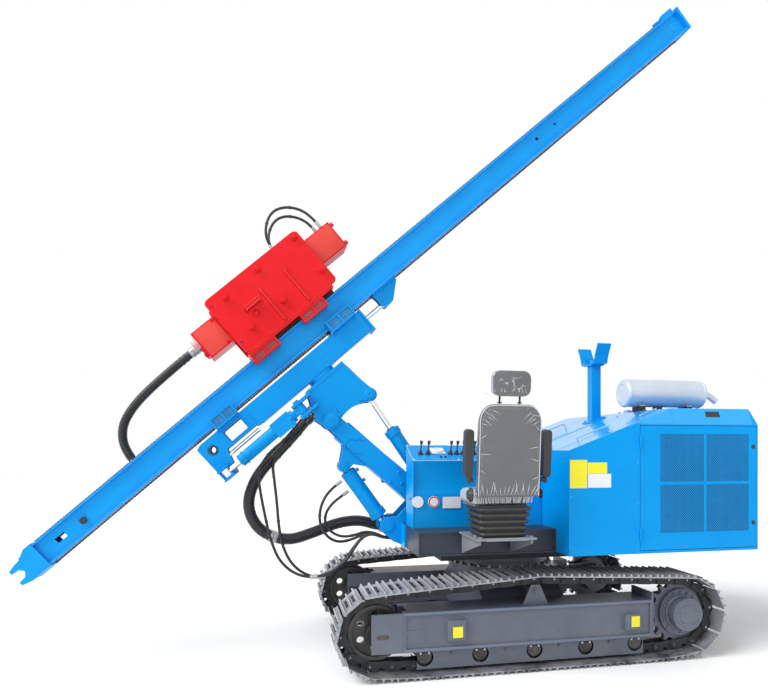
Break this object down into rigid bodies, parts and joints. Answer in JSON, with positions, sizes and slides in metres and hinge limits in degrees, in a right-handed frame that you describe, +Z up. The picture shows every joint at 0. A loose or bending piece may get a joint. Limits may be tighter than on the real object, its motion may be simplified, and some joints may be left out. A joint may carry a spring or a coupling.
{
  "type": "pile driver rig",
  "caption": "Compact crawler pile driver: slewing deck, engine housing, outside operator's seat, boom with tilt and swing, and a sliding mast with a hammer on rails.",
  "frame": {"origin": "on the ground, under the middle of the whole machine's box at rest", "axes": "+X towards the machine's rear (engine housing), +Y to its right-hand side, +Z up; the mast leans back over +X"},
  "size_m": [5.5214, 2.2188, 5.5089],
  "materials": {
    "steel_track": "worn steel",
    "dark_paint": "semi-gloss",
    "blue_paint": "gloss",
    "black_metal": "satin",
    "red_paint": "gloss",
    "silver_metal": "heat-stained satin",
    "light_grey_paint": "satin",
    "seat_vinyl": "matt vinyl",
    "black_plastic": "matt",
    "rubber": "matt",
    "hose_rubber": "braided, satin",
    "chrome_rod": "polished"
  },
  "bodies": {
    "undercarriage": {"cross_frame": "dark_paint", "fixed_ring": "dark_paint", "frame_legs": "dark_paint", "idlers": "dark_paint", "rollers": "dark_paint", "sprockets": "dark_paint", "track_frame_left": "dark_paint", "track_frame_right": "dark_paint", "track_left": "steel_track", "track_right": "steel_track"},
    "upper": {"armrests": "black_plastic", "boom_post": "blue_paint", "console": "blue_paint", "control_levers": "black_plastic", "deck": "dark_paint", "engine_block": "black_metal", "hood_ends": "blue_paint", "hood_sides": "blue_paint", "hood_top": "blue_paint", "hose_loop_a": "hose_rubber", "hose_loop_b": "hose_rubber", "hose_main_lower": "hose_rubber", "hose_thin_a_lower": "hose_rubber", "hose_thin_b_lower": "hose_rubber", "mast_rest": "blue_paint", "muffler": "silver_metal", "seat_back": "seat_vinyl", "seat_bellows": "rubber", "seat_bracket": "light_grey_paint", "seat_cushion": "seat_vinyl", "slew_ring": "dark_paint"},
    "door_left": {"door_left": "blue_paint"},
    "door_right": {"door_right": "blue_paint"},
    "boom": {"boom": "blue_paint", "hose_main_upper": "hose_rubber", "hose_thin_a_upper": "hose_rubber", "hose_thin_b_upper": "hose_rubber"},
    "boom_barrel": {"boom_cylinder": "blue_paint"},
    "boom_rod": {"boom_rod": "chrome_rod"},
    "tilt_barrel": {"tilt_cylinder": "blue_paint"},
    "tilt_rod": {"tilt_rod": "chrome_rod"},
    "knuckle": {"knuckle": "blue_paint"},
    "swing_barrel": {"swing_cylinder": "blue_paint"},
    "swing_rod": {"swing_rod": "chrome_rod"},
    "cradle": {"cradle": "blue_paint", "cradle_shoes": "blue_paint", "guide_rod": "chrome_rod", "slide_cylinder": "black_metal"},
    "mast": {"feed_chain": "black_metal", "feed_motor": "black_metal", "hose_hammer": "hose_rubber", "mast_beam": "blue_paint", "mast_foot": "blue_paint", "mast_head": "blue_paint", "slide_bracket": "blue_paint", "slide_rod": "chrome_rod"},
    "hammer": {"hammer_body": "red_paint", "hammer_carriage": "red_paint", "hose_head_a": "hose_rubber", "hose_head_b": "hose_rubber"}
  },
  "joints": [
    {"name": "slew", "type": "hinge", "parent": "undercarriage", "child": "upper", "pos_m": [0.94538, 0.15443, 0.69], "axis": [0, 0, 1], "continuous": true},
    {"name": "door_left_hinge", "type": "hinge", "parent": "upper", "child": "door_left", "pos_m": [1.71088, -0.79357, 1.296], "axis": [0, 0, -1], "range_deg": [0, 110]},
    {"name": "door_right_hinge", "type": "hinge", "parent": "upper", "child": "door_right", "pos_m": [1.71088, 1.10243, 1.296], "axis": [0, 0, 1], "range_deg": [0, 110]},
    {"name": "boom_lift", "type": "hinge", "parent": "upper", "child": "boom", "pos_m": [0.28538, 0.15443, 1.145], "axis": [0, 1, 0], "range_deg": [0, 45], "deforming": ["hose_main_lower", "hose_thin_a_lower", "hose_thin_b_lower", "hose_loop_a", "hose_loop_b"]},
    {"name": "boom_barrel_pivot", "type": "hinge", "parent": "boom", "child": "boom_barrel", "pos_m": [-0.37362, 0.15443, 1.444], "axis": [0, -1, 0], "range_deg": [-0.2, 5]},
    {"name": "boom_rod_slide", "type": "slide", "parent": "boom_barrel", "child": "boom_rod", "axis": [0.5847, 0, -0.8113], "range_m": [-0.002, 0.275]},
    {"name": "mast_tilt", "type": "hinge", "parent": "boom", "child": "knuckle", "pos_m": [-0.48262, 0.15443, 1.812], "axis": [0, -1, 0], "range_deg": [-41.5, 50], "deforming": ["hose_main_upper", "hose_thin_a_upper", "hose_thin_b_upper"]},
    {"name": "tilt_barrel_pivot", "type": "hinge", "parent": "boom", "child": "tilt_barrel", "pos_m": [0.39138, 0.15443, 1.19], "axis": [0, -1, 0], "range_deg": [-0.8, 0.95]},
    {"name": "tilt_rod_slide", "type": "slide", "parent": "tilt_barrel", "child": "tilt_rod", "axis": [-0.5639, 0, 0.8258], "range_m": [-0.242, 0.291]},
    {"name": "mast_swing", "type": "hinge", "parent": "knuckle", "child": "cradle", "pos_m": [-0.53691, 0.15443, 2.15263], "axis": [-0.6626, 0, 0.749], "range_deg": [-15, 15]},
    {"name": "swing_barrel_pivot", "type": "hinge", "parent": "knuckle", "child": "swing_barrel", "pos_m": [-0.713, 0.00443, 1.89137], "axis": [-0.6626, 0, 0.749], "range_deg": [-21.2, 21.2]},
    {"name": "swing_rod_slide", "type": "slide", "parent": "swing_barrel", "child": "swing_rod", "axis": [-0.749, 0, -0.6626], "range_m": [-0.039, 0.039]},
    {"name": "mast_slide", "type": "slide", "parent": "cradle", "child": "mast", "axis": [0.749, 0, 0.6626], "range_m": [-0.15, 0.75]},
    {"name": "hammer_slide", "type": "slide", "parent": "mast", "child": "hammer", "axis": [0.749, 0, 0.6626], "range_m": [-1.75, 3.55], "deforming": ["hose_hammer"]}
  ],
  "couplings": [
    {"joint": "boom_barrel_pivot", "follows": "boom_lift", "ratio": 0.1044},
    {"joint": "boom_rod_slide", "follows": "boom_lift", "m_per_rad": 0.3463},
    {"joint": "tilt_barrel_pivot", "follows": "mast_tilt", "ratio": 0.018},
    {"joint": "tilt_rod_slide", "follows": "mast_tilt", "m_per_rad": 0.332},
    {"joint": "swing_barrel_pivot", "follows": "mast_swing", "ratio": 1.407},
    {"joint": "swing_rod_slide", "follows": "mast_swing", "m_per_rad": -0.1453}
  ]
}
